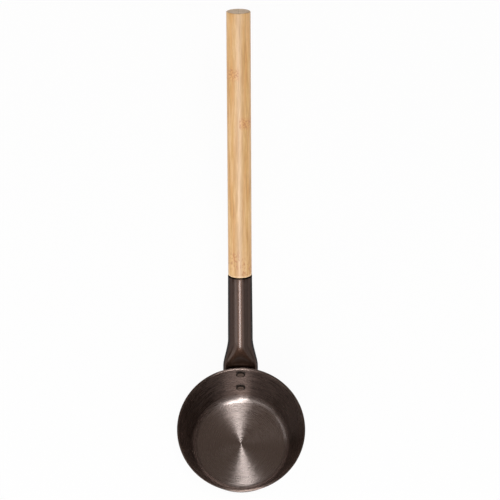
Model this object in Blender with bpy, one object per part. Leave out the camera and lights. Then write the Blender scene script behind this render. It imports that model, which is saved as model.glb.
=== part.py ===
"""Sauna ladle: a spun metal cup, a cast neck screwed to its wall, and a two-strip bamboo handle.

Metres, +Z up. The origin is the centre of the cup's flat base, and the handle rises towards +Y.
"""

import math

import bmesh
import bpy
from mathutils import Matrix, Vector

# Cup
RIM_RADIUS = 0.0552
CUP_HEIGHT = 0.0512
CUP_WALL = 0.0020
CUP_FLOOR = 0.0020
WALL_LEAN = math.radians(13.0)
CORNER_RADIUS = 0.0060
LIP_ROUND = 0.0005

# Handle: its axis crosses the line under the rim's outer edge this far below the rim
HANDLE_SLOPE = math.radians(38.7)
AXIS_DROP = 0.0100
HANDLE_RADIUS = 0.01008
HANDLE_LENGTH = 0.2304
HANDLE_END_ROUND = 0.0007
SHOULDER_CHAMFER = 0.0006
TENON_RADIUS = 0.0080
TENON_LENGTH = 0.0300
TENON_CHAMFER = 0.0008

# Neck
SOCKET_RADIUS = 0.01035
ROOT_RADIUS = 0.0107
SOCKET_MOUTH = 0.0886
SOCKET_CHAMFER = 0.0003
BORE_RELIEF = 0.0010
FLANGE_TOP = 0.0050
FLANGE_BOTTOM = 0.0395
FLANGE_HALF_WIDTH = 0.01515
FLANGE_TOP_SQUARENESS = 5.0
FLANGE_LOW_SQUARENESS = 2.8
PAD_DEPTH = 0.0090
SCOOP_START = 0.0250
BELLY_START = 0.0360
SCOOP_EASE = 0.0060
FOOT_SLOPE = math.radians(50)
FOOT_EASE = 0.0080
BELLY_EASE = 0.0140
FLARE_START = 0.04
FLARE_END = 0.70

# Screws and their seals
SCREW_RADIUS = 0.0020
SCREW_LENGTH = 0.0100
SCREW_TIP = 0.0005
HEAD_RADIUS = 0.0040
HEAD_HEIGHT = 0.0009
HEAD_EDGE = 0.0004
HEX_ACROSS = 0.0025
HEX_DEPTH = 0.0006
SEAL_RADIUS = 0.0036
SEAL_THICKNESS = 0.0004
UPPER_SCREW_DROP = 0.0078
SCREW_SPACING = 0.0232

# Stud and threaded insert inside the handle
STUD_RADIUS = 0.0030
STUD_IN_NECK = 0.0180
STUD_CHAMFER = 0.0005
INSERT_RADIUS = 0.0050
INSERT_LENGTH = 0.0150
INSERT_WALL_CHAMFER = 0.0004
STUD_RELIEF = 0.0040

# Clearances: between curved or fitted faces, between flat faces, and at a hole's end
FIT_GAP = 0.0003
FACE_GAP = 0.0001
HOLE_END_GAP = 0.0005

# Mesh fineness
CUP_SEGMENTS = 96
TUBE_SEGMENTS = 48
SCREW_SEGMENTS = 32
CORNER_STEPS = 7
ROUND_STEPS = 3
LOFT_STEPS = 16
CUTTER_MARGIN = 0.0050
SMOOTH_ANGLE = math.radians(32)


def arc(centre, radius, start, end, steps):
    """Points (radius, height) along an arc, both ends included."""
    points = []
    for i in range(steps + 1):
        angle = start + (end - start) * i / steps
        points.append((centre[0] + radius * math.cos(angle), centre[1] + radius * math.sin(angle)))
    return points


def new_object(name, verts, faces):
    mesh = bpy.data.meshes.new(name)
    mesh.from_pydata(verts, [], faces)
    shaper = bmesh.new()
    shaper.from_mesh(mesh)
    bmesh.ops.recalc_face_normals(shaper, faces=shaper.faces)
    shaper.to_mesh(mesh)
    shaper.free()
    mesh.shade_smooth()
    mesh.set_sharp_from_angle(angle=SMOOTH_ANGLE)
    made = bpy.data.objects.new(name, mesh)
    bpy.context.scene.collection.objects.link(made)
    return made


def turned(name, profile, segments, hollow=False):
    """A solid turned about Z from (radius, height) points. A hollow one's profile is a loop off the axis."""
    verts = []
    rings = []
    for radius, height in profile:
        if radius == 0:
            rings.append([len(verts)] * segments)
            verts.append((0, 0, height))
            continue
        rings.append(range(len(verts), len(verts) + segments))
        for i in range(segments):
            turn = math.tau * i / segments
            verts.append((radius * math.cos(turn), radius * math.sin(turn), height))
    faces = []
    pairs = list(zip(rings, rings[1:]))
    if hollow:
        pairs.append((rings[-1], rings[0]))
    for low, high in pairs:
        for i in range(segments):
            j = (i + 1) % segments
            corners = dict.fromkeys((low[i], low[j], high[j], high[i]))
            faces.append(tuple(corners))
    return new_object(name, verts, faces)


def cutter(obj):
    obj.hide_render = True
    obj.display_type = "WIRE"
    return obj


def cut(obj, tool):
    boolean = obj.modifiers.new("cut_" + tool.name, "BOOLEAN")
    boolean.operation = "DIFFERENCE"
    boolean.solver = "EXACT"
    boolean.object = tool


def paint(obj, colour, roughness, metallic):
    material = bpy.data.materials.new(obj.name)
    material.use_nodes = True
    shader = material.node_tree.nodes["Principled BSDF"]
    shader.inputs["Base Color"].default_value = (*colour, 1)
    shader.inputs["Roughness"].default_value = roughness
    shader.inputs["Metallic"].default_value = metallic
    obj.data.materials.append(material)


# The ladle's middle plane is X = 0. These give places in it.
WALL_UP = Vector((0, math.sin(WALL_LEAN), math.cos(WALL_LEAN)))
WALL_OUT = Vector((0, math.cos(WALL_LEAN), -math.sin(WALL_LEAN)))
AXIS_FOOT = Vector((0, RIM_RADIUS, CUP_HEIGHT - AXIS_DROP))
ALONG = Vector((0, math.cos(HANDLE_SLOPE), math.sin(HANDLE_SLOPE)))
ACROSS = Vector((0, -math.sin(HANDLE_SLOPE), math.cos(HANDLE_SLOPE)))


def on_wall(drop):
    """The point of the cup's outer wall this far down the slant from the rim."""
    return Vector((0, RIM_RADIUS, CUP_HEIGHT)) - WALL_UP * drop


def on_axis(distance):
    return AXIS_FOOT + ALONG * distance


def frame(origin, z_axis):
    """A placement with local Z along z_axis and local X along the ladle's X."""
    x_axis = Vector((1, 0, 0))
    y_axis = z_axis.cross(x_axis)
    turn = Matrix((x_axis, y_axis, z_axis)).transposed()
    return Matrix.Translation(origin) @ turn.to_4x4()


def wall_radius(height, inset):
    """The cup wall's radius at a height, for a face this far inside the outer face."""
    return RIM_RADIUS - (CUP_HEIGHT - height) * math.tan(WALL_LEAN) - inset / math.cos(WALL_LEAN)


def corner(floor_height, inset, radius):
    """The rounded corner between the floor and the wall, from the floor up."""
    centre_height = floor_height + radius
    centre = (wall_radius(centre_height, inset + radius), centre_height)
    return arc(centre, radius, -math.pi / 2, -WALL_LEAN, CORNER_STEPS)


def outer_profile(swell):
    """The cup's outer face grown by swell: base, corner and wall."""
    return [(0, -swell)] + corner(-swell, -swell, CORNER_RADIUS + CUP_WALL + swell)


def cup_profile():
    lip_height = CUP_HEIGHT - LIP_ROUND
    outer_lip = (wall_radius(lip_height, LIP_ROUND), lip_height)
    inner_lip = (wall_radius(lip_height, CUP_WALL - LIP_ROUND), lip_height)
    lip = arc(outer_lip, LIP_ROUND, -WALL_LEAN, math.pi / 2, ROUND_STEPS)
    lip += arc(inner_lip, LIP_ROUND, math.pi / 2, math.pi - WALL_LEAN, ROUND_STEPS)
    inside = corner(CUP_FLOOR, CUP_WALL, CORNER_RADIUS)
    return outer_profile(0) + lip + inside[::-1] + [(0, CUP_FLOOR)]


def bezier(ends, t):
    a, b, c, d = ends
    s = 1 - t
    return a * s**3 + b * (3 * s * s * t) + c * (3 * s * t * t) + d * t**3


def section(top, bottom, half_width, flare):
    """One closed outline of the neck, between a top and a bottom point of the middle plane.

    It is round at flare 0 and has the flange's squarer corners at flare 1.
    """
    centre = (top + bottom) / 2
    half_height = (top - bottom) / 2
    points = []
    for i in range(TUBE_SEGMENTS):
        turn = math.tau * i / TUBE_SEGMENTS
        flange_squareness = FLANGE_TOP_SQUARENESS if math.sin(turn) > 0 else FLANGE_LOW_SQUARENESS
        squareness = 2 + (flange_squareness - 2) * flare
        side = math.copysign(abs(math.cos(turn)) ** (2 / squareness), math.cos(turn))
        rise = math.copysign(abs(math.sin(turn)) ** (2 / squareness), math.sin(turn))
        points.append(centre + half_height * rise + Vector((half_width * side, 0, 0)))
    return points


def tube_section(distance, radius):
    middle = on_axis(distance)
    return section(middle + ACROSS * radius, middle - ACROSS * radius, radius, 0)


def neck_sections():
    """Outlines from the socket's mouth down to inside the cup's wall, which is cut away after."""
    rings = [
        tube_section(SOCKET_MOUTH, SOCKET_RADIUS - SOCKET_CHAMFER),
        tube_section(SOCKET_MOUTH - SOCKET_CHAMFER, SOCKET_RADIUS),
        tube_section((SOCKET_MOUTH + BELLY_START) / 2, (SOCKET_RADIUS + ROOT_RADIUS) / 2),
    ]
    top_start = on_axis(SCOOP_START) + ACROSS * ROOT_RADIUS
    top_end = on_wall(FLANGE_TOP)
    foot_out = Vector((0, math.cos(FOOT_SLOPE), math.sin(FOOT_SLOPE)))
    top_edge = (
        top_start,
        top_start - ALONG * SCOOP_EASE,
        top_end + foot_out * FOOT_EASE,
        top_end,
    )
    low_start = on_axis(BELLY_START) - ACROSS * ROOT_RADIUS
    low_end = on_wall(FLANGE_BOTTOM) + WALL_OUT * PAD_DEPTH
    low_edge = (
        low_start,
        low_start - ALONG * BELLY_EASE,
        low_end + WALL_UP * BELLY_EASE,
        low_end,
    )
    for i in range(LOFT_STEPS + 1):
        t = i / LOFT_STEPS
        flare = min(1, max(0, (t - FLARE_START) / (FLARE_END - FLARE_START)))
        flare = flare * flare * (3 - 2 * flare)
        half_width = ROOT_RADIUS + (FLANGE_HALF_WIDTH - ROOT_RADIUS) * flare
        rings.append(section(bezier(top_edge, t), bezier(low_edge, t), half_width, flare))
    sunk = WALL_OUT * CUTTER_MARGIN
    root_top = top_end - sunk
    root_low = on_wall(FLANGE_BOTTOM) - sunk
    rings.append(section(root_top, root_low, FLANGE_HALF_WIDTH, 1))
    return rings


def lofted(name, rings):
    verts = [point for ring in rings for point in ring]
    count = len(rings[0])
    faces = [tuple(range(count)), tuple(range(len(verts) - count, len(verts)))]
    for k in range(len(rings) - 1):
        for i in range(count):
            j = (i + 1) % count
            faces.append((k * count + i, k * count + j, (k + 1) * count + j, (k + 1) * count + i))
    return new_object(name, verts, faces)


def rod(name, radius, low, high, segments, chamfer=0.0):
    """A round bar along local Z between two heights, with both end edges chamfered."""
    profile = [(0, low)]
    if chamfer:
        profile.append((radius - chamfer, low))
    profile += [(radius, low + chamfer), (radius, high - chamfer)]
    if chamfer:
        profile.append((radius - chamfer, high))
    return turned(name, profile + [(0, high)], segments)


def sleeve(name, outer, inner, low, high, chamfer, segments):
    profile = [
        (inner, low),
        (outer - chamfer, low),
        (outer, low + chamfer),
        (outer, high - chamfer),
        (outer - chamfer, high),
        (inner, high),
    ]
    return turned(name, profile, segments, hollow=True)


def seal_offset(drop):
    """How far inside the wall's inner face a flat seal sits, so that its sides clear the curved wall."""
    wall = on_wall(drop)
    across = wall_radius(wall.z, CUP_WALL) / math.cos(WALL_LEAN)
    return across - math.sqrt(across**2 - SEAL_RADIUS**2) + FACE_GAP


def seal_place(drop):
    """Local Z points into the cup, and Z = 0 is the seal's face on the wall."""
    seat = on_wall(drop) - WALL_OUT * (CUP_WALL + seal_offset(drop))
    return frame(seat, -WALL_OUT)


def screw(name, drop):
    under_head = SEAL_THICKNESS + FACE_GAP
    tip = under_head - SCREW_LENGTH
    dome_height = HEAD_HEIGHT - HEAD_EDGE
    crown = (HEAD_RADIUS**2 + dome_height**2) / (2 * dome_height)
    crown_centre = (0, under_head + HEAD_HEIGHT - crown)
    dome = arc(crown_centre, crown, math.acos(HEAD_RADIUS / crown), math.pi / 2, CORNER_STEPS)
    profile = [
        (0, tip),
        (SCREW_RADIUS - SCREW_TIP, tip),
        (SCREW_RADIUS, tip + SCREW_TIP),
        (SCREW_RADIUS, under_head),
        (HEAD_RADIUS, under_head),
    ]
    profile += dome[:-1] + [(0, under_head + HEAD_HEIGHT)]
    made = turned(name, profile, SCREW_SEGMENTS)
    made.matrix_world = seal_place(drop)
    floor = under_head + HEAD_HEIGHT - HEX_DEPTH
    hexagon = rod(name + "_hex", HEX_ACROSS / math.sqrt(3), floor, floor + HEX_DEPTH + CUTTER_MARGIN, 6)
    hexagon.matrix_world = seal_place(drop)
    cut(made, cutter(hexagon))
    return made


def seal(name, drop):
    made = sleeve(name, SEAL_RADIUS, SCREW_RADIUS + FIT_GAP, 0, SEAL_THICKNESS, FACE_GAP, SCREW_SEGMENTS)
    made.matrix_world = seal_place(drop)
    return made


def screw_hole(name, drop):
    """The hole for one screw, through the cup's wall and blind in the neck."""
    end = SEAL_THICKNESS + FACE_GAP - SCREW_LENGTH - HOLE_END_GAP
    made = rod(name, SCREW_RADIUS + FIT_GAP, end, CUTTER_MARGIN, SCREW_SEGMENTS)
    made.matrix_world = seal_place(drop)
    return cutter(made)


def axis_rod(name, radius, start, end, chamfer=0.0):
    """A round bar on the handle's axis between two distances along it."""
    made = rod(name, radius, start, end, TUBE_SEGMENTS, chamfer)
    made.matrix_world = frame(AXIS_FOOT, ALONG)
    return made


TENON_END = SOCKET_MOUTH - TENON_LENGTH
BORE_FLOOR = TENON_END - BORE_RELIEF
INSERT_END = TENON_END + INSERT_LENGTH
STUD_TOP = INSERT_END + STUD_RELIEF / 2
HANDLE_END = SOCKET_MOUTH + HANDLE_LENGTH


def handle_profile():
    shoulder = SOCKET_MOUTH + FIT_GAP
    end_centre = (HANDLE_RADIUS - HANDLE_END_ROUND, HANDLE_END - HANDLE_END_ROUND)
    profile = [
        (0, TENON_END),
        (TENON_RADIUS - TENON_CHAMFER, TENON_END),
        (TENON_RADIUS, TENON_END + TENON_CHAMFER),
        (TENON_RADIUS, shoulder),
        (HANDLE_RADIUS - SHOULDER_CHAMFER, shoulder),
        (HANDLE_RADIUS, shoulder + SHOULDER_CHAMFER),
    ]
    profile += arc(end_centre, HANDLE_END_ROUND, 0, math.pi / 2, ROUND_STEPS)
    return profile + [(0, HANDLE_END)]


def half_space(name, side):
    """A block that covers the handle on one side of the seam, less half the glue gap."""
    reach = HANDLE_RADIUS + CUTTER_MARGIN
    near = -FACE_GAP / 2
    low = TENON_END - CUTTER_MARGIN
    high = HANDLE_END + CUTTER_MARGIN
    verts = []
    for x in (near, reach):
        for y in (-reach, reach):
            for z in (low, high):
                verts.append((side * x, y, z))
    faces = [(0, 1, 3, 2), (4, 5, 7, 6), (0, 1, 5, 4), (2, 3, 7, 6), (0, 2, 6, 4), (1, 3, 7, 5)]
    made = new_object(name, verts, faces)
    made.matrix_world = frame(AXIS_FOOT, ALONG)
    return cutter(made)


def handle_strip(name, other_side):
    made = turned(name, handle_profile(), TUBE_SEGMENTS)
    made.matrix_world = frame(AXIS_FOOT, ALONG)
    cut(made, insert_hole)
    cut(made, stud_relief)
    cut(made, half_space(name + "_seam", other_side))
    return made


for old in list(bpy.data.objects):
    bpy.data.objects.remove(old)

lower_drop = UPPER_SCREW_DROP + SCREW_SPACING
upper_hole = screw_hole("upper_screw_hole", UPPER_SCREW_DROP)
lower_hole = screw_hole("lower_screw_hole", lower_drop)
insert_hole = cutter(
    axis_rod("insert_hole", INSERT_RADIUS + FIT_GAP, TENON_END - CUTTER_MARGIN, INSERT_END + FACE_GAP)
)
stud_relief = cutter(
    axis_rod("stud_relief", STUD_RADIUS + FIT_GAP, TENON_END - CUTTER_MARGIN, INSERT_END + STUD_RELIEF)
)

cup = turned("cup", cup_profile(), CUP_SEGMENTS)
cut(cup, upper_hole)
cut(cup, lower_hole)
paint(cup, (0.16, 0.125, 0.108), 0.34, 1)

neck = lofted("neck", neck_sections())
cut(neck, upper_hole)
cut(neck, lower_hole)
seat_top = (wall_radius(CUP_HEIGHT, -FIT_GAP), CUP_HEIGHT)
seat = turned("cup_seat", outer_profile(FIT_GAP) + [seat_top, (0, CUP_HEIGHT)], CUP_SEGMENTS)
cut(neck, cutter(seat))
bore = axis_rod("bore", TENON_RADIUS + FIT_GAP, BORE_FLOOR, SOCKET_MOUTH + CUTTER_MARGIN)
cut(neck, cutter(bore))
stud_hole_end = BORE_FLOOR - STUD_IN_NECK - HOLE_END_GAP
stud_hole = axis_rod("stud_hole", STUD_RADIUS + FIT_GAP, stud_hole_end, SOCKET_MOUTH)
cut(neck, cutter(stud_hole))
paint(neck, (0.16, 0.125, 0.108), 0.38, 1)

for screw_name, seal_name, drop in (
    ("upper_screw", "upper_seal", UPPER_SCREW_DROP),
    ("lower_screw", "lower_seal", lower_drop),
):
    paint(screw(screw_name, drop), (0.20, 0.16, 0.14), 0.3, 1)
    paint(seal(seal_name, drop), (0.012, 0.011, 0.010), 0.7, 0)

for strip_name, other_side in (("handle_strip_left", 1), ("handle_strip_right", -1)):
    paint(handle_strip(strip_name, other_side), (0.62, 0.42, 0.23), 0.5, 0)

stud = axis_rod("handle_stud", STUD_RADIUS, BORE_FLOOR - STUD_IN_NECK, STUD_TOP, STUD_CHAMFER)
paint(stud, (0.55, 0.55, 0.56), 0.3, 1)

insert = sleeve(
    "handle_insert",
    INSERT_RADIUS,
    STUD_RADIUS + FIT_GAP,
    TENON_END,
    INSERT_END,
    INSERT_WALL_CHAMFER,
    TUBE_SEGMENTS,
)
insert.matrix_world = frame(AXIS_FOOT, ALONG)
paint(insert, (0.66, 0.50, 0.22), 0.35, 1)
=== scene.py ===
"""Looks of the sauna ladle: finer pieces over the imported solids, materials, light and camera.

Metres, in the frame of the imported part: the origin is the centre of the cup's base, +Z is up, and
the handle rises towards +Y.
"""

import math

import bpy
from mathutils import Matrix, Vector


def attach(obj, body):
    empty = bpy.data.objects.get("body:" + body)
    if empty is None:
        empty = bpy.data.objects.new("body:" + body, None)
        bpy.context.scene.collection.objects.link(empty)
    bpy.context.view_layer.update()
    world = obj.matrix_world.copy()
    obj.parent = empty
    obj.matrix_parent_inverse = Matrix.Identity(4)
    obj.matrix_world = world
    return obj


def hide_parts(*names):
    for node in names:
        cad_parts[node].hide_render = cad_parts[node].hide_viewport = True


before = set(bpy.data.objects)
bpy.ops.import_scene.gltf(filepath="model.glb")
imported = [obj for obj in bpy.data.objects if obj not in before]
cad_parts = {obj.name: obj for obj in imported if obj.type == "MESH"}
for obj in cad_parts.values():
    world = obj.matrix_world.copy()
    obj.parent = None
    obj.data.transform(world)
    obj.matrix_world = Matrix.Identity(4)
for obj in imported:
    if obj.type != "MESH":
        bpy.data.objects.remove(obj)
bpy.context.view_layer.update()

# Cup
RIM_RADIUS = 0.0552
CUP_HEIGHT = 0.0512
CUP_WALL = 0.0020
CUP_FLOOR = 0.0020
WALL_LEAN = math.radians(13.0)
CORNER_RADIUS = 0.0060
LIP_ROUND = 0.0005

# Handle: its axis crosses the line under the rim's outer edge this far below the rim
HANDLE_SLOPE = math.radians(38.7)
AXIS_DROP = 0.0100
HANDLE_RADIUS = 0.01008
HANDLE_LENGTH = 0.2304
HANDLE_END_ROUND = 0.0007
SHOULDER_CHAMFER = 0.0006
TENON_RADIUS = 0.0080
TENON_SHOWN = 0.0040

# Neck. A section's squareness is its exponent, and 2 is an ellipse
SOCKET_RADIUS = 0.01035
ROOT_RADIUS = 0.0107
SOCKET_MOUTH = 0.0886
SOCKET_CHAMFER = 0.0003
FLANGE_TOP = 0.0050
FLANGE_BOTTOM = 0.0395
FLANGE_HALF_WIDTH = 0.01515
ROUND_SQUARENESS = 2
FLANGE_TOP_SQUARENESS = 5.0
FLANGE_LOW_SQUARENESS = 2.8
PAD_DEPTH = 0.0090
SEAT_REACH = 0.004
SCOOP_START = 0.0305
BELLY_START = 0.0360
SCOOP_EASE = 0.0120
FOOT_SLOPE = math.radians(50)
FOOT_EASE = 0.0080
BELLY_EASE = 0.0140
FLARE_START = 0.07
FLARE_END = 0.70
FLATTEN_POWER = 1.5

# Screws and seals. A head's dome ends at a share of the hexagon's width
SCREW_RADIUS = 0.0020
HEAD_RADIUS = 0.0040
HEAD_HEIGHT = 0.0009
HEAD_EDGE = 0.0004
HEX_ACROSS = 0.0025
HEX_DEPTH = 0.0006
HEX_TURN = math.tau / 6
DOME_END_SHARE = 0.68
SEAL_RADIUS = 0.0036
SEAL_THICKNESS = 0.0004
SEAL_ROUND = 0.00015
UPPER_SCREW_DROP = 0.0078
SCREW_SPACING = 0.0232

# Clearances
FIT_GAP = 0.0003
FACE_GAP = 0.0001

# Mesh fineness
CUP_SEGMENTS = 256
TUBE_SEGMENTS = 128
SCREW_SEGMENTS = 96
CORNER_STEPS = 24
ROUND_STEPS = 8
WALL_STEPS = 12
FLOOR_STEPS = 16
MOUTH_STEPS = 4
TUBE_STEPS = 12
LOFT_STEPS = 72
PAD_STEPS = 6
SEAT_HALVINGS = 40
SHAFT_STEPS = 40
END_STEPS = 6
DOME_STEPS = 16
SHARP_ANGLE = math.radians(40)

# Metal and rubber: the dark and the light tone of each finish
# Inside the cup there is one metal: the floor's paler tones are painted light, and the wall's darker
# tones painted shade
FLOOR_LIT_TONES = (0.092, 0.051, 0.037), (0.148, 0.087, 0.065)
WALL_SHADED_TONES = (0.071, 0.041, 0.030), (0.122, 0.075, 0.057)
OUTSIDE_TONES = (0.052, 0.029, 0.020), (0.076, 0.045, 0.033)
CAST_TONES = (0.045, 0.021, 0.013), (0.053, 0.027, 0.017)
SCREW_TONES = (0.105, 0.070, 0.054), (0.150, 0.104, 0.083)
STEEL_TONES = (0.48, 0.48, 0.49), (0.60, 0.60, 0.61)
BRASS_TONES = (0.58, 0.42, 0.17), (0.70, 0.54, 0.25)
CAST_EDGE = (0.074, 0.050, 0.039, 1)
# Painted shade in the gap at the socket's mouth
MOUTH_PAINTED_SHADE = (0.014, 0.010, 0.008)
# Painted shade round the edge of a screw head
HEAD_PAINTED_SHADE = (0.020, 0.014, 0.011)
RUBBER_TONES = (0.010, 0.009, 0.008), (0.016, 0.014, 0.013)
CLOUD_STOPS = 0.3, 0.7

# Brushing: noise scales per metre across the lines and along x and y. The floor's paler tones, painted
# light, turn into the wall's darker ones, painted shade, between two heights
BRUSH_FINE = (1900, 130, 130)
BRUSH_BROAD = (1000, 55, 55)
BRUSH_CLIMB = 0.6
BRUSH_DETAIL = 3
BRUSH_SHARPNESS = 0.65
BRUSH_STOPS = 0.38, 0.62
BRUSH_SPREAD = 0.36, 0.64
BRUSH_ROUGHNESS = 0.23, 0.35
BRUSH_TURN_SPREAD = 0.30, 0.70
BRUSH_TURN = 0.244, 0.256
FLOOR_METALLIC = 0.69
WALL_METALLIC_GAIN = 0.205
OUTSIDE_METALLIC = 0.94
# Heights between which the floor's painted light gives way to the wall's painted shade
WALL_FROM = CUP_FLOOR + 0.0035
WALL_FULL = CUP_FLOOR + 0.0080

# Casting, screws, rubber and hidden metal: noise scales per metre, and where a finish or a painted
# shade changes
CAST_GRAIN = 4200
CAST_CLOUD = 160
SCREW_GRAIN = 3000
RUBBER_GRAIN = 2500
PLAIN_GRAIN = 1800
CAST_ROUGHNESS = 0.33, 0.36
CAST_COAT = 0.12
# Where the painted shade at the socket's mouth ends and fades out
MOUTH_DARK_TO = 0.0004
MOUTH_CLEAR_FROM = 0.0012
SCREW_ROUGHNESS = 0.50, 0.58
# Where the painted shade round a screw head's edge fades in, and how it dulls the head there
HEAD_PAINTED_SHADE_FROM = HEAD_RADIUS * 0.62
HEAD_PAINTED_SHADE_FULL = HEAD_RADIUS * 0.80
HEAD_PAINTED_SHADE_ROUGHER = 0.25
HEAD_GLOSS = 0.5
HEAD_PAINTED_SHADE_DULLER = 0.35

# Bamboo's colours
LEFT_LIT_TONES = (
    (0.515, 0.266, 0.078),
    (0.590, 0.328, 0.106),
    (0.632, 0.370, 0.130),
    (0.686, 0.440, 0.185),
)
# Painted shade: the right strip's tones are darker than the left strip's
RIGHT_SHADED_TONES = (
    (0.478, 0.246, 0.070),
    (0.562, 0.311, 0.095),
    (0.610, 0.356, 0.119),
    (0.670, 0.428, 0.170),
)
TONE_STOPS = 0.40, 0.47, 0.53, 0.59
# Painted sheen: paler, greyer tones near the seam, which runs along the handle's top
PAINTED_SHEEN_TONES = (0.485, 0.325, 0.168), (0.650, 0.480, 0.295)
PAINTED_SHEEN_STOPS = 0.40, 0.59
WARM_WOOD = (0.645, 0.332, 0.105)
PINK_WOOD = (0.720, 0.470, 0.235)
FIBRE_WOOD = (0.476, 0.236, 0.074)
NODE_WOOD = (0.710, 0.385, 0.140)
SPECKLE_WOOD = (0.450, 0.185, 0.058)
# Painted highlight on the handle's shoulder, above the neck
SHOULDER_HIGHLIGHT_WOOD = (0.800, 0.580, 0.340)
SEAM_WOOD = (0.550, 0.325, 0.140)
END_TONES = (0.720, 0.525, 0.350), (0.840, 0.640, 0.450)
END_DOTS = (0.270, 0.185, 0.100)
END_EDGE = (0.300, 0.205, 0.110)
END_SEAM = (0.240, 0.160, 0.085)

# Bamboo's noises: scales per metre along x, y and z, and an offset that sets each one apart
BEND_NOISE = (120, 120, 34), 3
FINE_NOISE = (2400, 2400, 130), 0
STREAK_NOISE = (800, 800, 58), 11
TONE_NOISE = (380, 380, 26), 23
WAVE_NOISE = (330, 330, 60), 5
FINE_SHARE = 0.22
STREAK_SHARE = 0.34
TONE_SHARE = 0.44

# Bamboo's patches: a noise, the values between which a patch fades in, and its strength
WARM_PATCHES = ((430, 430, 26), 37), (0.48, 0.64), 0.55
PINK_PATCHES = ((360, 360, 24), 53), (0.50, 0.64), 0.55
DARK_FIBRES = ((2100, 2100, 170), 91), (0.58, 0.70), 0.50
NODE_FLECKS = ((1050, 1050, 620), 7), (0.42, 0.60), 1.0
BAND_DOTS = ((760, 760, 360), 71), (0.50, 0.62), 1.0

# Bamboo's marks: their sizes, and how strongly they colour the wood
FIBRE_BEND = 0.0030
# How far from the seam the painted sheen reaches, and how strongly it colours the wood
PAINTED_SHEEN_REACH = HANDLE_RADIUS * 0.80
PAINTED_SHEEN_SHARE = 0.45
NODE_WAVE = 0.009
NODE_HALF = 0.0070
NODE_CORE = 0.0015
NODE_SHARE = 0.45
FLECK_SHARE = 0.85
RIDGE_SHIFT = 0.0030
RIDGE_HALF = 0.0009
RIDGE_CORE = 0.0002
RIDGE_SHARE = 0.40
RIDGE_RELIEF = 0.6
BAND_HALF = 0.0120
BAND_CORE = 0.0040
BAND_SHARE = 0.75
# Where the painted highlight on the shoulder fades in, and how strongly
SHOULDER_HIGHLIGHT_TO = SOCKET_MOUTH + 0.0026
SHOULDER_HIGHLIGHT_FULL = SOCKET_MOUTH + 0.0010
SHOULDER_HIGHLIGHT_SHARE = 0.6
SEAM_HALF = 0.00030
SEAM_CORE = 0.00008
SEAM_SHARE = 0.35
GRAIN_SPREAD = 0.35, 0.65
WOOD_ROUGHNESS = 0.46, 0.39

# Bamboo's end grain
END_CELLS = 1250
END_CLOUD = 260
END_DOT_FADE = 0.42, 0.22
END_DOT_SHARE = 0.45
END_EDGE_FROM = HANDLE_RADIUS * 0.80
END_EDGE_FULL = HANDLE_RADIUS * 0.99
END_EDGE_SHARE = 0.35
END_SEAM_HALF = 0.00022
END_SEAM_CORE = 0.00006
END_SEAM_SHARE = 0.5

# Strips: name, side, seed, tones, the node's place and depth, and the speckled band's place
STRIPS = (
    ("left", -1, 3.0, LEFT_LIT_TONES, 0.2672, 0.85, 0.1045),
    ("right", 1, 61.0, RIGHT_SHADED_TONES, 0.2252, 1.0, 0.0970),
)

# Floor and world
FLOOR_REACH = 12.0
FLOOR_LEVEL = -0.0002
FLOOR_GREY = (0.86, 0.86, 0.86, 1)
FLOOR_WHITENESS = 0.95
WORLD_LOW = 0.40, (0.055, 0.049, 0.044, 1)
WORLD_HIGH = 0.80, (0.085, 0.072, 0.064, 1)

# Soft boxes: name, azimuth, elevation, distance, width, height, watts and colour
LIGHT_TARGET = Vector((0, 0.06, 0.06))
WHITE = (1, 1, 1)
WARM = (1.0, 0.82, 0.70)
LIGHTS = (
    ("key", 17, 78, 2.4, 0.42, 0.5, 17.0, WHITE),
    ("middle", 9, 58, 2.3, 0.75, 1.0, 10.0, WHITE),
    ("front_strip", -4, 31, 2.0, 0.42, 0.8, 13.0, WHITE),
    ("front_wide", -10, 34, 2.0, 3.2, 1.1, 15.5, WHITE),
    ("left_wide", -46, 15, 1.8, 1.0, 0.7, 2.4, WHITE),
    ("right_wide", 46, 15, 1.8, 1.3, 0.7, 1.8, WHITE),
    ("left_side", -75, 12, 2.0, 2.0, 1.0, 1.3, WHITE),
    ("right_side", 75, 12, 2.0, 2.0, 1.0, 0.9, WHITE),
    ("left_high", -85, 48, 2.0, 1.0, 0.6, 2.6, WHITE),
    ("overhead", 180, 80, 2.4, 1.8, 1.8, 1.65, WARM),
    ("back", 180, 13, 2.2, 0.8, 0.5, 9.0, WHITE),
)

# Camera, about the rim's centre
CAMERA_ELEVATION = math.radians(69.9)
CAMERA_AZIMUTH = math.radians(-1.33)
CAMERA_ROLL = math.radians(0.83)
CAMERA_SHIFT = (-0.00762, -0.15366)
CAMERA_DISTANCE = 1.889
FOCAL_PIXELS = 2200
IMAGE_PIXELS = 500
SENSOR_WIDTH = 36.0

# Directions along and off the cup's wall below the handle, and along and across the handle
WALL_UP = Vector((0, math.sin(WALL_LEAN), math.cos(WALL_LEAN)))
WALL_OUT = Vector((0, math.cos(WALL_LEAN), -math.sin(WALL_LEAN)))
AXIS_FOOT = Vector((0, RIM_RADIUS, CUP_HEIGHT - AXIS_DROP))
ALONG = Vector((0, math.cos(HANDLE_SLOPE), math.sin(HANDLE_SLOPE)))
ACROSS = Vector((0, -math.sin(HANDLE_SLOPE), math.cos(HANDLE_SLOPE)))


def arc(centre, radius, start, end, steps):
    """Points (radius, height) along an arc, both ends included."""
    points = []
    for i in range(steps + 1):
        angle = start + (end - start) * i / steps
        points.append((centre[0] + radius * math.cos(angle), centre[1] + radius * math.sin(angle)))
    return points


def between(a, b, steps):
    """Points from a towards b, without b."""
    return [tuple(p + (q - p) * i / steps for p, q in zip(a, b)) for i in range(steps)]


def turns(segments):
    return [math.tau * i / segments for i in range(segments)]


def circle(radius, height, segments):
    return [(radius * math.cos(turn), radius * math.sin(turn), height) for turn in turns(segments)]


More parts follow.
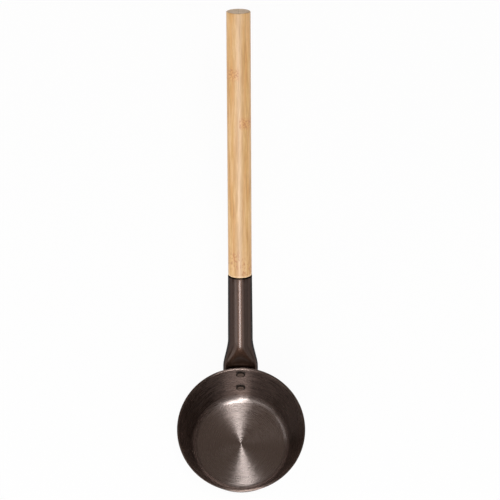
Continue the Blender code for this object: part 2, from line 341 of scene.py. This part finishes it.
def ease(share):
    """A smooth step from 0 to 1."""
    return share * share * (3 - 2 * share)


def add_object(name, verts, faces, place=Matrix()):
    mesh = bpy.data.meshes.new(name)
    mesh.from_pydata(verts, [], faces)
    mesh.validate()
    mesh.shade_smooth()
    mesh.set_sharp_from_angle(angle=SHARP_ANGLE)
    made = bpy.data.objects.new(name, mesh)
    made.matrix_world = place
    bpy.context.scene.collection.objects.link(made)
    return made


def dress(piece, nodes, slot_name, *materials):
    for material in materials:
        piece.data.materials.append(material)
    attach(piece, "root")
    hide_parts(*nodes)


def on_wall(drop):
    """The point on the cup's outer wall, under the handle, this far below the rim."""
    return Vector((0, RIM_RADIUS, CUP_HEIGHT)) - WALL_UP * drop


def on_axis(distance):
    return AXIS_FOOT + ALONG * distance


def placed(origin, z_axis):
    x_axis = Vector((1, 0, 0))
    y_axis = z_axis.cross(x_axis)
    turn = Matrix((x_axis, y_axis, z_axis)).transposed()
    return Matrix.Translation(origin) @ turn.to_4x4()


def wall_radius(height, inset):
    """The radius of the cup's outer wall at a height, moved in square to the wall."""
    outer = RIM_RADIUS - (CUP_HEIGHT - height) * math.tan(WALL_LEAN)
    return outer - inset / math.cos(WALL_LEAN)


def ring_faces(rings):
    """Quads between neighbouring rings of vertex indices, all of one length."""
    faces = []
    for low, high in zip(rings, rings[1:]):
        count = len(low)
        for i in range(count):
            j = (i + 1) % count
            corners = dict.fromkeys((low[i], low[j], high[j], high[i]))
            faces.append(tuple(corners))
    return faces


def turned(name, profile, segments, place=Matrix(), hollow=False):
    """A shell turned about Z from (radius, height) points. A hollow one's profile is a loop."""
    verts = []
    rings = []
    for radius, height in profile:
        if radius == 0:
            rings.append([len(verts)] * segments)
            verts.append((0, 0, height))
            continue
        rings.append(range(len(verts), len(verts) + segments))
        verts += circle(radius, height, segments)
    if hollow:
        rings.append(rings[0])
    return add_object(name, verts, ring_faces(rings), place)


def corner(floor_height, inset, radius):
    """The rounded corner between the cup's floor and its wall, from the floor up."""
    centre_height = floor_height + radius
    centre = (wall_radius(centre_height, inset + radius), centre_height)
    return arc(centre, radius, -math.pi / 2, -WALL_LEAN, CORNER_STEPS)


def make_cup():
    """The cup in one turned profile. Its faces below the lip's outer edge have the second finish."""
    lip_height = CUP_HEIGHT - LIP_ROUND
    outer_lip = (wall_radius(lip_height, LIP_ROUND), lip_height)
    inner_lip = (wall_radius(lip_height, CUP_WALL - LIP_ROUND), lip_height)
    lip = arc(outer_lip, LIP_ROUND, -WALL_LEAN, math.pi / 2, ROUND_STEPS)
    lip += arc(inner_lip, LIP_ROUND, math.pi / 2, math.pi - WALL_LEAN, ROUND_STEPS)
    outside = corner(0, 0, CORNER_RADIUS + CUP_WALL)
    inside = corner(CUP_FLOOR, CUP_WALL, CORNER_RADIUS)[::-1]
    floor_centre = (0, CUP_FLOOR)
    profile = between((0, 0), outside[0], FLOOR_STEPS)
    profile += outside[:-1] + between(outside[-1], lip[0], WALL_STEPS)
    outer_faces = len(profile) * CUP_SEGMENTS
    profile += lip[:-1] + between(lip[-1], inside[0], WALL_STEPS)
    profile += inside[:-1] + between(inside[-1], floor_centre, FLOOR_STEPS) + [floor_centre]
    made = turned("ladle_cup", profile, CUP_SEGMENTS)
    for polygon in made.data.polygons[:outer_faces]:
        polygon.material_index = 1
    return made


def bezier(ends, t):
    a, b, c, d = ends
    s = 1 - t
    return a * s**3 + b * (3 * s * s * t) + c * (3 * s * t * t) + d * t**3


def rounded(value, squareness):
    return math.copysign(abs(value) ** (2 / squareness), value)


def section(top, bottom, half_width, flare, flatness):
    """One ring of the neck. Flare squares its lower half, and flatness its upper half."""
    centre = (top + bottom) / 2
    half_height = (top - bottom) / 2
    points = []
    for turn in turns(TUBE_SEGMENTS):
        if math.sin(turn) > 0:
            squareness = ROUND_SQUARENESS + (FLANGE_TOP_SQUARENESS - ROUND_SQUARENESS) * flatness
        else:
            squareness = ROUND_SQUARENESS + (FLANGE_LOW_SQUARENESS - ROUND_SQUARENESS) * flare
        side = rounded(math.cos(turn), squareness)
        rise = rounded(math.sin(turn), squareness)
        points.append(centre + half_height * rise + Vector((half_width * side, 0, 0)))
    return points


def tube_section(distance, radius):
    middle = on_axis(distance)
    return section(middle + ACROSS * radius, middle - ACROSS * radius, radius, 0, 0)


def on_seat(point):
    """The point moved square to the wall until it lies one fit gap off the cup."""
    near, far = -SEAT_REACH, PAD_DEPTH + SEAT_REACH
    for _ in range(SEAT_HALVINGS):
        depth = (near + far) / 2
        tried = point - WALL_OUT * depth
        outside = math.hypot(tried.x, tried.y) > wall_radius(tried.z, -FIT_GAP)
        near, far = (depth, far) if outside else (near, depth)
    return point - WALL_OUT * near


def make_neck():
    """The neck's shell, from inside its socket to its seat, open where other pieces hide it."""
    rings = [
        tube_section(SOCKET_MOUTH - TENON_SHOWN, TENON_RADIUS + FIT_GAP),
        tube_section(SOCKET_MOUTH, TENON_RADIUS + FIT_GAP),
    ]
    tube_start = SOCKET_MOUTH - SOCKET_CHAMFER
    mouth_centre = (SOCKET_RADIUS - SOCKET_CHAMFER, tube_start)
    mouth = arc(mouth_centre, SOCKET_CHAMFER, math.pi / 2, 0, MOUTH_STEPS)
    rings += [tube_section(distance, radius) for radius, distance in mouth]
    for i in range(1, TUBE_STEPS):
        share = i / TUBE_STEPS
        distance = tube_start + (BELLY_START - tube_start) * share
        radius = SOCKET_RADIUS + (ROOT_RADIUS - SOCKET_RADIUS) * share
        rings.append(tube_section(distance, radius))

    top_start = on_axis(SCOOP_START) + ACROSS * ROOT_RADIUS
    top_end = on_wall(FLANGE_TOP)
    foot_out = Vector((0, math.cos(FOOT_SLOPE), math.sin(FOOT_SLOPE)))
    top_edge = (
        top_start,
        top_start - ALONG * SCOOP_EASE,
        top_end + foot_out * FOOT_EASE,
        top_end,
    )
    low_start = on_axis(BELLY_START) - ACROSS * ROOT_RADIUS
    low_end = on_wall(FLANGE_BOTTOM) + WALL_OUT * PAD_DEPTH
    low_edge = (
        low_start,
        low_start - ALONG * BELLY_EASE,
        low_end + WALL_UP * BELLY_EASE,
        low_end,
    )
    for i in range(LOFT_STEPS + 1):
        t = i / LOFT_STEPS
        flare = ease(min(1, max(0, (t - FLARE_START) / (FLARE_END - FLARE_START))))
        flatness = ease(t) ** FLATTEN_POWER
        half_width = ROOT_RADIUS + (FLANGE_HALF_WIDTH - ROOT_RADIUS) * flare
        top, bottom = bezier(top_edge, t), bezier(low_edge, t)
        rings.append(section(top, bottom, half_width, flare, flatness))

    pad = rings[-1]
    seat = [on_seat(point) for point in pad]
    for i in range(1, PAD_STEPS + 1):
        rings.append([p.lerp(q, i / PAD_STEPS) for p, q in zip(pad, seat)])
    verts = [point for ring in rings for point in ring]
    indices = [range(k, k + TUBE_SEGMENTS) for k in range(0, len(verts), TUBE_SEGMENTS)]
    return add_object("ladle_neck", verts, ring_faces(indices))


def make_strip(name, side):
    """Half of the handle, open at the seam. side is -1 for the left strip and 1 for the right one."""
    shoulder = SOCKET_MOUTH + FIT_GAP
    end = SOCKET_MOUTH + HANDLE_LENGTH
    end_centre = (HANDLE_RADIUS - HANDLE_END_ROUND, end - HANDLE_END_ROUND)
    chamfer_centre = (HANDLE_RADIUS - SHOULDER_CHAMFER, shoulder + SHOULDER_CHAMFER)
    shaft_end = (HANDLE_RADIUS, end - HANDLE_END_ROUND)
    profile = [(TENON_RADIUS, SOCKET_MOUTH - TENON_SHOWN), (TENON_RADIUS, shoulder)]
    profile += arc(chamfer_centre, SHOULDER_CHAMFER, -math.pi / 2, 0, ROUND_STEPS)
    profile += between(profile[-1], shaft_end, SHAFT_STEPS)[1:]
    end_face_from = len(profile) + ROUND_STEPS
    profile += arc(end_centre, HANDLE_END_ROUND, 0, math.pi / 2, ROUND_STEPS)
    profile += between(profile[-1], (0, end), END_STEPS)[1:]

    half = TUBE_SEGMENTS // 2
    count = half + 1
    verts = []
    for radius, height in profile:
        for i in range(count):
            turn = math.pi * (i / half - 0.5)
            verts.append((side * radius * math.cos(turn), radius * math.sin(turn), height))
    tip = len(verts)
    verts.append((0, 0, end))
    faces = []
    end_faces = []
    for k in range(len(profile) - 1):
        for i in range(half):
            a = k * count + i
            quad = (a, a + 1, a + count + 1, a + count)
            if k >= end_face_from:
                end_faces.append(len(faces))
            faces.append(quad if side > 0 else quad[::-1])
    last = (len(profile) - 1) * count
    for i in range(half):
        triangle = (last + i, last + i + 1, tip)
        end_faces.append(len(faces))
        faces.append(triangle if side > 0 else triangle[::-1])
    made = add_object(name, verts, faces, placed(AXIS_FOOT, ALONG))
    for index in end_faces:
        made.data.polygons[index].material_index = 1
    return made


def seal_offset(drop):
    """How far the flat seal stands off the curved wall, so that its edges clear it."""
    wall = on_wall(drop)
    across = wall_radius(wall.z, CUP_WALL) / math.cos(WALL_LEAN)
    return across - math.sqrt(across**2 - SEAL_RADIUS**2) + FACE_GAP


def seal_place(drop):
    return placed(on_wall(drop) - WALL_OUT * (CUP_WALL + seal_offset(drop)), -WALL_OUT)


def make_screw(name, drop):
    """A low domed head with a hexagon recess. The shank is inside the wall and stays unseen."""
    under = SEAL_THICKNESS + FACE_GAP
    dome_height = HEAD_HEIGHT - HEAD_EDGE
    crown = (HEAD_RADIUS**2 + dome_height**2) / (2 * dome_height)
    crown_height = under + HEAD_HEIGHT - crown
    dome_start = math.acos(HEAD_RADIUS / crown)
    dome_end = math.acos(HEX_ACROSS * DOME_END_SHARE / crown)
    profile = [
        (SCREW_RADIUS, under - SEAL_THICKNESS),
        (SCREW_RADIUS, under),
        (HEAD_RADIUS, under),
    ]
    profile += arc((0, crown_height), crown, dome_start, dome_end, DOME_STEPS)
    verts = []
    for radius, height in profile:
        verts += circle(radius, height, SCREW_SEGMENTS)
    recess_floor = under + HEAD_HEIGHT - HEX_DEPTH
    recess_top = []
    recess_foot = []
    for turn in turns(SCREW_SEGMENTS):
        from_flat = math.fmod(turn, HEX_TURN) - HEX_TURN / 2
        radius = HEX_ACROSS / 2 / math.cos(from_flat)
        x, y = radius * math.cos(turn), radius * math.sin(turn)
        recess_top.append((x, y, crown_height + math.sqrt(crown**2 - radius**2)))
        recess_foot.append((x, y, recess_floor))
    verts += recess_top + recess_foot
    rings = [range(k, k + SCREW_SEGMENTS) for k in range(0, len(verts), SCREW_SEGMENTS)]
    rings.append([len(verts)] * SCREW_SEGMENTS)
    verts.append((0, 0, recess_floor))
    return add_object(name, verts, ring_faces(rings), seal_place(drop))


def make_seal(name, drop):
    """A flat washer with a rounded outer edge."""
    inner = SCREW_RADIUS + FIT_GAP
    outer = SEAL_RADIUS - SEAL_ROUND
    upper = SEAL_THICKNESS - SEAL_ROUND
    profile = [(inner, 0)]
    profile += arc((outer, SEAL_ROUND), SEAL_ROUND, -math.pi / 2, 0, ROUND_STEPS)
    profile += arc((outer, upper), SEAL_ROUND, 0, math.pi / 2, ROUND_STEPS)
    profile.append((inner, SEAL_THICKNESS))
    return turned(name, profile, SCREW_SEGMENTS, seal_place(drop), hollow=True)


class Nodes:
    """A material's node tree, with short ways to add and join nodes."""

    def __init__(self, name):
        self.material = bpy.data.materials.new(name)
        self.material.use_nodes = True
        self.tree = self.material.node_tree
        self.shader = self.tree.nodes["Principled BSDF"]

    def add(self, kind, **settings):
        node = self.tree.nodes.new("ShaderNode" + kind)
        for key, value in settings.items():
            setattr(node, key, value)
        return node

    def join(self, source, target):
        self.tree.links.new(source, target)

    def put(self, socket, value):
        if isinstance(value, (int, float, tuple)):
            socket.default_value = value
        else:
            self.join(value, socket)

    def set(self, name, value):
        self.put(self.shader.inputs[name], value)

    def math(self, operation, a, b=0.0):
        node = self.add("Math", operation=operation)
        self.put(node.inputs[0], a)
        self.put(node.inputs[1], b)
        return node.outputs[0]

    def weighted(self, *pairs):
        """The sum of values, each times its weight."""
        parts = [self.math("MULTIPLY", value, weight) for value, weight in pairs]
        total = parts[0]
        for part in parts[1:]:
            total = self.math("ADD", total, part)
        return total

    def distance(self, value, place):
        return self.math("ABSOLUTE", self.math("SUBTRACT", value, place))

    def object_axes(self):
        coords = self.add("TexCoord")
        split = self.add("SeparateXYZ")
        self.join(coords.outputs["Object"], split.inputs[0])
        return split.outputs

    def from_axis(self, x, y):
        """The distance from the object's Z axis."""
        squares = self.math("ADD", self.math("MULTIPLY", x, x), self.math("MULTIPLY", y, y))
        return self.math("SQRT", squares)

    def vector(self, x, y, z):
        node = self.add("CombineXYZ")
        for socket, value in zip(node.inputs, (x, y, z)):
            self.put(socket, value)
        return node.outputs[0]

    def scaled(self, axes, scales, offset=0.0):
        parts = [self.math("MULTIPLY", axis, scale) for axis, scale in zip(axes, scales)]
        parts[2] = self.math("ADD", parts[2], offset)
        return self.vector(*parts)

    def noise(self, vector, detail, roughness=0.5):
        node = self.add("TexNoise")
        node.inputs["Scale"].default_value = 1.0
        node.inputs["Detail"].default_value = detail
        node.inputs["Roughness"].default_value = roughness
        self.join(vector, node.inputs["Vector"])
        return node.outputs["Fac"]

    def even_noise(self, axes, scale, detail, offset=0.0):
        """Noise of one scale along all three axes."""
        return self.noise(self.scaled(axes, (scale, scale, scale), offset), detail)

    def ramp(self, value, positions, colours):
        node = self.add("ValToRGB")
        elements = node.color_ramp.elements
        while len(elements) < len(colours):
            elements.new(0.5)
        for element, position, colour in zip(elements, positions, colours):
            element.position = position
            element.color = (*colour, 1)
        self.join(value, node.inputs[0])
        return node.outputs[0]

    def mix(self, share, a, b):
        node = self.add("Mix", data_type="RGBA")
        self.put(node.inputs[0], share)
        for socket, value in ((node.inputs[6], a), (node.inputs[7], b)):
            self.put(socket, (*value, 1) if isinstance(value, tuple) else value)
        return node.outputs[2]

    def tinted(self, colour, share, strength, tint):
        return self.mix(self.math("MULTIPLY", share, strength), colour, tint)

    def step(self, value, low, high, out_low=0.0, out_high=1.0):
        node = self.add("MapRange", interpolation_type="SMOOTHSTEP")
        for socket, number in zip(node.inputs[1:5], (low, high, out_low, out_high)):
            socket.default_value = number
        self.join(value, node.inputs[0])
        return node.outputs[0]

    def bump(self, height, distance, strength):
        node = self.add("Bump")
        node.inputs["Strength"].default_value = strength
        node.inputs["Distance"].default_value = distance
        self.join(height, node.inputs["Height"])
        self.join(node.outputs[0], self.shader.inputs["Normal"])


def brushed_metal(name, inside):
    """Dark bronze, brushed in circles about the cup's axis. Inside, the floor's paler tones are painted
    light and the wall's darker tones painted shade.
    """
    m = Nodes(name)
    x, y, z = m.object_axes()
    path = m.math("ADD", m.from_axis(x, y), m.math("MULTIPLY", z, BRUSH_CLIMB))
    fine = m.noise(m.scaled((path, x, y), BRUSH_FINE), BRUSH_DETAIL, BRUSH_SHARPNESS)
    broad = m.noise(m.scaled((path, x, y), BRUSH_BROAD), BRUSH_DETAIL, BRUSH_SHARPNESS)
    lines = m.weighted((fine, 0.5), (broad, 0.5))
    if inside:
        # Painted shade: from these heights up, the wall takes the darker tones
        wall = m.step(z, WALL_FROM, WALL_FULL)
        floor_lit_tone = m.ramp(lines, BRUSH_STOPS, FLOOR_LIT_TONES)
        wall_shaded_tone = m.ramp(lines, BRUSH_STOPS, WALL_SHADED_TONES)
        m.set("Base Color", m.mix(wall, floor_lit_tone, wall_shaded_tone))
        gain = m.math("MULTIPLY", wall, WALL_METALLIC_GAIN)
        m.set("Metallic", m.math("ADD", gain, FLOOR_METALLIC))
    else:
        m.set("Base Color", m.ramp(lines, BRUSH_STOPS, OUTSIDE_TONES))
        m.set("Metallic", OUTSIDE_METALLIC)
    m.set("IOR", 3.1)
    m.set("Specular IOR Level", 1.0)
    m.set("Roughness", m.step(lines, *BRUSH_SPREAD, *BRUSH_ROUGHNESS))
    m.set("Anisotropic", 0.95)
    m.set("Anisotropic Rotation", m.step(fine, *BRUSH_TURN_SPREAD, *BRUSH_TURN))
    tangent = m.add("Tangent", direction_type="RADIAL", axis="Z")
    m.join(tangent.outputs[0], m.shader.inputs["Tangent"])
    m.bump(lines, distance=0.00003, strength=0.4)
    return m.material


def cast_metal():
    """The same colour on a satin casting under a clear seal, with painted shade at the socket's mouth,
    where the coat is also left off.
    """
    m = Nodes("bronze_cast")
    axes = m.object_axes()
    grain = m.even_noise(axes, CAST_GRAIN, detail=2)
    cloud = m.even_noise(axes, CAST_CLOUD, detail=3)
    along = m.weighted((axes[1], ALONG.y), (axes[2], ALONG.z))
    from_mouth = m.math("SUBTRACT", AXIS_FOOT.dot(ALONG) + SOCKET_MOUTH, along)
    # Painted shade at the socket's mouth, with no coat there
    painted_mouth_shade = m.step(from_mouth, MOUTH_CLEAR_FROM, MOUTH_DARK_TO)
    m.set("Base Color", m.mix(painted_mouth_shade, m.ramp(cloud, CLOUD_STOPS, CAST_TONES), MOUTH_PAINTED_SHADE))
    m.set("Metallic", 1.0)
    m.set("Roughness", m.step(cloud, *CLOUD_STOPS, *CAST_ROUGHNESS))
    m.set("Specular Tint", CAST_EDGE)
    coat = m.step(from_mouth, MOUTH_DARK_TO, MOUTH_CLEAR_FROM, 0.0, CAST_COAT)
    m.set("Coat Weight", coat)
    m.set("Coat IOR", 3.0)
    m.set("Coat Roughness", 0.16)
    m.bump(grain, distance=0.000004, strength=0.2)
    return m.material


def screw_metal():
    """Satin bronze, with painted shade round the edge of the head, which is also rougher and less
    glossy there.
    """
    m = Nodes("bronze_screw")
    axes = m.object_axes()
    grain = m.even_noise(axes, SCREW_GRAIN, detail=2)
    # Painted shade: a dark, rough ring round the head's edge
    painted_rim_shade = m.step(m.from_axis(axes[0], axes[1]), HEAD_PAINTED_SHADE_FROM, HEAD_PAINTED_SHADE_FULL)
    m.set("Base Color", m.mix(painted_rim_shade, m.ramp(grain, CLOUD_STOPS, SCREW_TONES), HEAD_PAINTED_SHADE))
    m.set("Metallic", 0.4)
    satin = m.step(grain, *CLOUD_STOPS, *SCREW_ROUGHNESS)
    rougher = m.math("MULTIPLY", painted_rim_shade, HEAD_PAINTED_SHADE_ROUGHER)
    duller = m.math("MULTIPLY", painted_rim_shade, HEAD_PAINTED_SHADE_DULLER)
    m.set("Roughness", m.math("ADD", satin, rougher))
    m.set("Specular IOR Level", m.math("SUBTRACT", HEAD_GLOSS, duller))
    m.bump(grain, distance=0.00002, strength=0.3)
    return m.material


def seal_rubber():
    m = Nodes("black_rubber")
    grain = m.even_noise(m.object_axes(), RUBBER_GRAIN, detail=2)
    m.set("Base Color", m.ramp(grain, CLOUD_STOPS, RUBBER_TONES))
    m.set("Roughness", 0.62)
    m.bump(grain, distance=0.00003, strength=0.4)
    return m.material


def plain_metal(name, tones, roughness):
    m = Nodes(name)
    grain = m.even_noise(m.object_axes(), PLAIN_GRAIN, detail=2)
    m.set("Base Color", m.ramp(grain, CLOUD_STOPS, tones))
    m.set("Metallic", 1.0)
    m.set("Roughness", roughness)
    m.bump(grain, distance=0.00002, strength=0.3)
    return m.material


def bamboo(name, seed, tones, node_at, node_depth, speckle_at):
    """One strip: streaked fibre, with painted sheen as paler, greyer tones towards the seam on the
    handle's top and underside, and one culm node across it.

    Near the joint it has a speckled band, and a painted highlight as a pale edge at the shoulder.
    """
    m = Nodes(name)
    axes = m.object_axes()
    x, y, z = axes

    def noise(where, kind, detail):
        scales, offset = kind
        return m.noise(m.scaled(where, scales, seed + offset), detail)

    def patches(where, kind):
        source, fade, strength = kind
        return m.step(noise(where, source, 1), *fade, 0.0, strength)

    bend = m.math("SUBTRACT", noise(axes, BEND_NOISE, 2), 0.5)
    wander = m.math("ADD", x, m.math("MULTIPLY", bend, FIBRE_BEND))
    fibre_axes = (wander, y, z)
    fine = noise(fibre_axes, FINE_NOISE, 2)
    streak = noise(fibre_axes, STREAK_NOISE, 2)
    tone = noise(fibre_axes, TONE_NOISE, 2)
    grain = m.weighted((fine, FINE_SHARE), (streak, STREAK_SHARE), (tone, TONE_SHARE))
    colour = m.ramp(grain, TONE_STOPS, tones)
    colour = m.mix(patches(axes, WARM_PATCHES), colour, WARM_WOOD)
    colour = m.mix(patches(axes, PINK_PATCHES), colour, PINK_WOOD)
    colour = m.mix(patches(fibre_axes, DARK_FIBRES), colour, FIBRE_WOOD)

    from_seam = m.math("ABSOLUTE", x)
    # Painted sheen along the seam, fading out towards the sides
    painted_sheen = m.step(from_seam, PAINTED_SHEEN_REACH, 0.0, 0.0, PAINTED_SHEEN_SHARE)
    colour = m.mix(painted_sheen, colour, m.ramp(grain, PAINTED_SHEEN_STOPS, PAINTED_SHEEN_TONES))

    wave = m.math("SUBTRACT", noise(axes, WAVE_NOISE, 2), 0.5)
    shifted = m.math("ADD", z, m.math("MULTIPLY", wave, NODE_WAVE))
    past_node = m.math("SUBTRACT", shifted, node_at)
    near_node = m.step(m.math("ABSOLUTE", past_node), NODE_HALF, NODE_CORE)
    flecks = m.math("MULTIPLY", near_node, patches(axes, NODE_FLECKS))
    ridge = m.step(m.distance(past_node, RIDGE_SHIFT), RIDGE_HALF, RIDGE_CORE)
    colour = m.tinted(colour, near_node, NODE_SHARE * node_depth, NODE_WOOD)
    colour = m.tinted(colour, flecks, FLECK_SHARE * node_depth, SPECKLE_WOOD)
    colour = m.tinted(colour, ridge, RIDGE_SHARE * node_depth, SPECKLE_WOOD)

    band = m.step(m.distance(shifted, speckle_at), BAND_HALF, BAND_CORE)
    dots = m.math("MULTIPLY", patches(axes, BAND_DOTS), band)
    colour = m.tinted(colour, dots, BAND_SHARE, SPECKLE_WOOD)

    # Painted highlight: a pale band at the shoulder
    painted_shoulder_highlight = m.step(z, SHOULDER_HIGHLIGHT_TO, SHOULDER_HIGHLIGHT_FULL)
    seam = m.step(from_seam, SEAM_HALF, SEAM_CORE)
    colour = m.tinted(colour, painted_shoulder_highlight, SHOULDER_HIGHLIGHT_SHARE, SHOULDER_HIGHLIGHT_WOOD)
    colour = m.tinted(colour, seam, SEAM_SHARE, SEAM_WOOD)
    m.set("Base Color", colour)
    m.set("Roughness", m.step(grain, *GRAIN_SPREAD, *WOOD_ROUGHNESS))
    m.set("Diffuse Roughness", 0.5)
    m.set("IOR", 1.5)
    m.set("Specular IOR Level", 0.90)
    relief = m.math("ADD", fine, m.math("MULTIPLY", ridge, RIDGE_RELIEF))
    m.bump(relief, distance=0.00005, strength=0.5)
    return m.material


def bamboo_end(name, seed):
    """End grain: dark fibre bundles as dots, a darker edge, and the seam."""
    m = Nodes(name)
    axes = m.object_axes()
    cells = m.add("TexVoronoi", feature="F1")
    cells.inputs["Scale"].default_value = 1.0
    m.join(m.scaled(axes, (END_CELLS, END_CELLS, END_CELLS), seed), cells.inputs["Vector"])
    dots = m.step(cells.outputs["Distance"], *END_DOT_FADE)
    cloud = m.even_noise(axes, END_CLOUD, 3, seed)
    edge = m.step(m.from_axis(axes[0], axes[1]), END_EDGE_FROM, END_EDGE_FULL)
    seam = m.step(m.math("ABSOLUTE", axes[0]), END_SEAM_HALF, END_SEAM_CORE)
    colour = m.ramp(cloud, CLOUD_STOPS, END_TONES)
    colour = m.tinted(colour, dots, END_DOT_SHARE, END_DOTS)
    colour = m.tinted(colour, edge, END_EDGE_SHARE, END_EDGE)
    colour = m.tinted(colour, seam, END_SEAM_SHARE, END_SEAM)
    m.set("Base Color", colour)
    m.set("Roughness", 0.62)
    m.bump(dots, distance=0.00006, strength=0.5)
    return m.material


def make_floor():
    """A floor that looks white to the camera and in reflections, and keeps the ladle's shadow."""
    sides = (-1, -1), (1, -1), (1, 1), (-1, 1)
    verts = [(FLOOR_REACH * x, FLOOR_REACH * y, FLOOR_LEVEL) for x, y in sides]
    floor = add_object("floor", verts, [(0, 1, 2, 3)])
    m = Nodes("floor_white")
    m.set("Base Color", FLOOR_GREY)
    m.set("Roughness", 0.9)
    m.set("Specular IOR Level", 0.0)
    rays = m.add("LightPath")
    seen = m.math("MAXIMUM", rays.outputs["Is Camera Ray"], rays.outputs["Is Glossy Ray"])
    seen = m.math("MAXIMUM", seen, rays.outputs["Is Transmission Ray"])
    white = m.add("Emission")
    blend = m.add("MixShader")
    m.join(m.math("MULTIPLY", seen, FLOOR_WHITENESS), blend.inputs[0])
    m.join(m.shader.outputs[0], blend.inputs[1])
    m.join(white.outputs[0], blend.inputs[2])
    m.join(blend.outputs[0], m.tree.nodes["Material Output"].inputs["Surface"])
    floor.data.materials.append(m.material)


def make_world():
    """A dim warm studio, a little lighter overhead than at the horizon."""
    world = bpy.data.worlds.new("studio")
    bpy.context.scene.world = world
    world.use_nodes = True
    nodes, links = world.node_tree.nodes, world.node_tree.links
    coords = nodes.new("ShaderNodeTexCoord")
    split = nodes.new("ShaderNodeSeparateXYZ")
    fade = nodes.new("ShaderNodeValToRGB")
    for element, (position, colour) in zip(fade.color_ramp.elements, (WORLD_LOW, WORLD_HIGH)):
        element.position = position
        element.color = colour
    links.new(coords.outputs["Generated"], split.inputs[0])
    links.new(split.outputs[2], fade.inputs[0])
    links.new(fade.outputs[0], nodes["Background"].inputs["Color"])


def make_light(name, azimuth, elevation, distance, width, height, watts, colour):
    """A soft box aimed at the ladle. Azimuth 0 is the camera's side, and grows to the right."""
    turn, lift = math.radians(azimuth), math.radians(elevation)
    level = math.cos(lift)
    away = Vector((math.sin(turn) * level, -math.cos(turn) * level, math.sin(lift)))
    lamp = bpy.data.lights.new(name, "AREA")
    lamp.shape = "RECTANGLE"
    lamp.size = width
    lamp.size_y = height
    lamp.energy = watts
    lamp.color = colour
    made = bpy.data.objects.new(name, lamp)
    made.visible_camera = False
    aimed = away.to_track_quat("Z", "Y").to_matrix().to_4x4()
    made.matrix_world = Matrix.Translation(LIGHT_TARGET + away * distance) @ aimed
    bpy.context.scene.collection.objects.link(made)


def make_camera():
    """The photo's camera, as fitted to the rim, the handle's edges and its end."""
    e, a, roll = CAMERA_ELEVATION, CAMERA_AZIMUTH, CAMERA_ROLL
    back = Vector((math.sin(a) * math.cos(e), -math.cos(a) * math.cos(e), math.sin(e)))
    level = Vector((math.cos(a), math.sin(a), 0))
    upright = back.cross(level)
    right = level * math.cos(roll) + upright * math.sin(roll)
    up = upright * math.cos(roll) - level * math.sin(roll)
    shift_x, shift_y = CAMERA_SHIFT
    rim_centre = Vector((0, 0, CUP_HEIGHT))
    place = Matrix((right, up, back)).transposed().to_4x4()
    place.translation = rim_centre - right * shift_x - up * shift_y + back * CAMERA_DISTANCE
    data = bpy.data.cameras.new("camera")
    data.sensor_width = SENSOR_WIDTH
    data.lens = SENSOR_WIDTH * FOCAL_PIXELS / IMAGE_PIXELS
    camera = bpy.data.objects.new("camera", data)
    camera.matrix_world = place
    bpy.context.scene.collection.objects.link(camera)
    bpy.context.scene.camera = camera


cup_finishes = brushed_metal("bronze_inside", True), brushed_metal("bronze_outside", False)
dress(make_cup(), ["cup"], "anodised_cup", *cup_finishes)
dress(make_neck(), ["neck"], "anodised_casting", cast_metal())

screw_material = screw_metal()
seal_material = seal_rubber()
for place, drop in (("upper", UPPER_SCREW_DROP), ("lower", UPPER_SCREW_DROP + SCREW_SPACING)):
    screw = make_screw("ladle_" + place + "_screw", drop)
    dress(screw, [place + "_screw"], "screw_steel", screw_material)
    seal = make_seal("ladle_" + place + "_seal", drop)
    dress(seal, [place + "_seal"], "seal_rubber", seal_material)

for name, side, seed, tones, node_at, node_depth, speckle_at in STRIPS:
    dress(
        make_strip("ladle_strip_" + name, side),
        ["handle_strip_" + name],
        "bamboo",
        bamboo("bamboo_" + name, seed, tones, node_at, node_depth, speckle_at),
        bamboo_end("bamboo_end_" + name, seed),
    )

hidden_metals = {
    "handle_stud": plain_metal("steel", STEEL_TONES, 0.32),
    "handle_insert": plain_metal("brass", BRASS_TONES, 0.36),
}
for node, material in hidden_metals.items():
    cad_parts[node].material_slots[0].material = material

make_floor()
make_world()
for light in LIGHTS:
    make_light(*light)
make_camera()
bpy.context.scene.view_settings.view_transform = "Standard"
